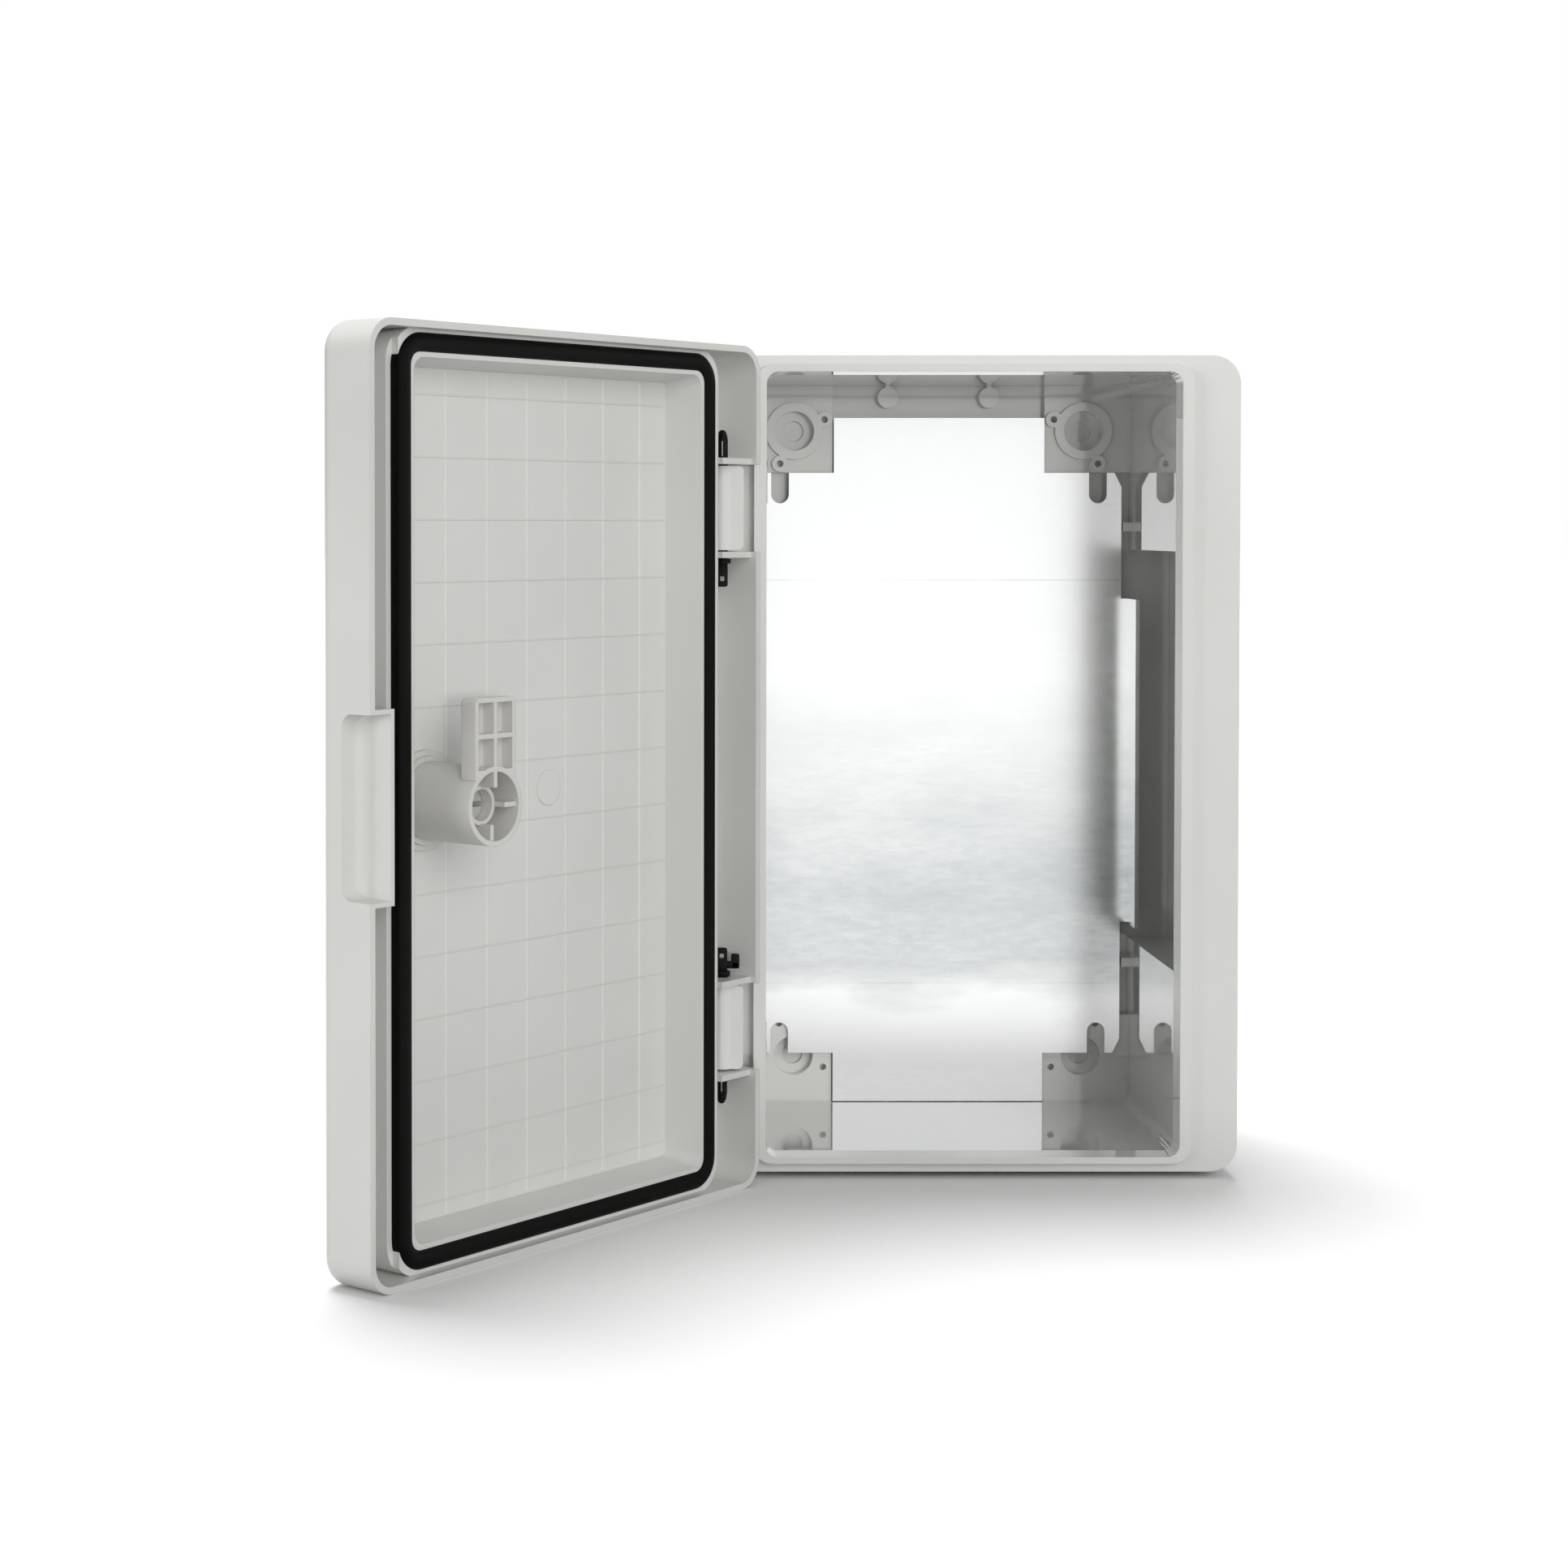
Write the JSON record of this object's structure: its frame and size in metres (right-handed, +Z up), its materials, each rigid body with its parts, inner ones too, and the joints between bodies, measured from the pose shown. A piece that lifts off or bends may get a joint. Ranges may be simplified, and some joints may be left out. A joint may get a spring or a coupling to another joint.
{
  "type": "electrical enclosure",
  "caption": "Moulded plastic wall enclosure with a hinged gasketed door standing open, a turn lock with a ribbed cam, and a loose steel mounting plate inside.",
  "frame": {"origin": "centre of the flat back face that lies on the wall", "axes": "+Y into the wall, +Z up, +X to the right as seen from the front"},
  "size_m": [0.3172, 0.2701, 0.3],
  "materials": {
    "grey_shell": "glossy moulded light grey ABS",
    "grey_door": "satin moulded light grey ABS",
    "galvanised_plate": "bright galvanised sheet",
    "black_foam": "matt foamed seal",
    "black_pin": "black nylon",
    "lock_grey": "satin light grey plastic",
    "lock_dark": "satin grey plastic"
  },
  "bodies": {
    "enclosure": {"body": "grey_shell", "mounting_plate": "galvanised_plate"},
    "door": {"door": "grey_door", "door_gasket": "black_foam", "upper_hinge_pin": "black_pin", "lower_hinge_pin": "black_pin", "lock_housing": "lock_grey", "lock_seal": "black_foam", "lock_collar": "lock_grey"},
    "lock": {"lock_barrel": "lock_dark", "lock_cam": "lock_grey"}
  },
  "joints": [
    {"name": "door_hinge", "type": "hinge", "parent": "enclosure", "child": "door", "pos_m": [-0.0912, -0.117, 0], "axis": [0, 0, 1], "range_deg": [-5, 130]},
    {"name": "lock_turn", "type": "hinge", "parent": "door", "child": "lock", "pos_m": [-0.18595, -0.22992, -0.0014], "axis": [0.766, -0.6428, 0], "range_deg": [0, 90]}
  ]
}
